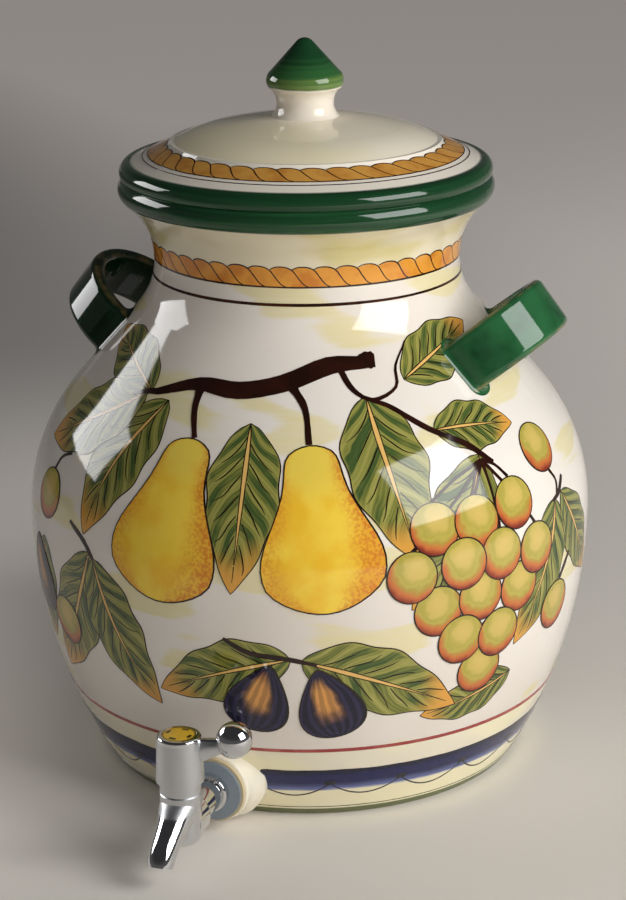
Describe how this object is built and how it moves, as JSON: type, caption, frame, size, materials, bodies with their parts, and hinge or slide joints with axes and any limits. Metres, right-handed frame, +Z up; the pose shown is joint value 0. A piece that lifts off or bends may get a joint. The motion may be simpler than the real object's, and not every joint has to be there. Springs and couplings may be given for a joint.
{
  "type": "water pot with tap",
  "caption": "Painted and glazed clay water pot with round belly, domed loose lid, two green strap handles and a chromed lever tap near its foot.",
  "frame": {"origin": "centre of the foot, on the surface it stands on", "axes": "+Z up along the pot's axis, -Y out along the tap, handles on +X and -X"},
  "size_m": [0.3551, 0.4306, 0.4533],
  "materials": {
    "painted_glaze": "cream glaze, painted under the glaze, gloss",
    "lid_glaze": "ivory glaze with painted bands, gloss",
    "green_glaze": "copper green glaze, gloss, thin and brown at the edges",
    "knob_glaze": "green glaze over white, gloss",
    "cream_glaze": "plain cream glaze, gloss",
    "chrome": "polished chrome plate",
    "brass": "turned, unplated",
    "steel": "zinc plated",
    "tan_rubber": "matt",
    "black_rubber": "matt",
    "grey_nylon": "matt",
    "yellow_plastic": "gloss"
  },
  "bodies": {
    "vessel": {"pot_body": "painted_glaze", "handle_left": "green_glaze", "handle_right": "green_glaze", "tap_boss": "cream_glaze", "outer_gasket": "tan_rubber", "outer_washer": "grey_nylon", "tap_body": "chrome", "inner_gasket": "black_rubber", "inner_washer": "steel", "back_nut": "brass", "inlet_seal": "black_rubber", "thrust_washer": "grey_nylon", "bonnet_ring": "chrome"},
    "lid": {"lid_shell": "lid_glaze", "lid_knob": "knob_glaze"},
    "tap_handle": {"valve_plug": "brass", "stem_seals": "black_rubber", "handle_cap": "chrome", "lever_arm": "chrome", "lever_ball": "chrome", "cap_screw": "steel", "index_disc": "yellow_plastic"}
  },
  "joints": [
    {"name": "lid_lift", "type": "slide", "parent": "vessel", "child": "lid", "axis": [0, 0, 1], "range_m": [0, 0.1]},
    {"name": "tap_turn", "type": "hinge", "parent": "vessel", "child": "tap_handle", "pos_m": [0, -0.2145, 0.048], "axis": [0, 0, -1], "range_deg": [0, 90]}
  ]
}
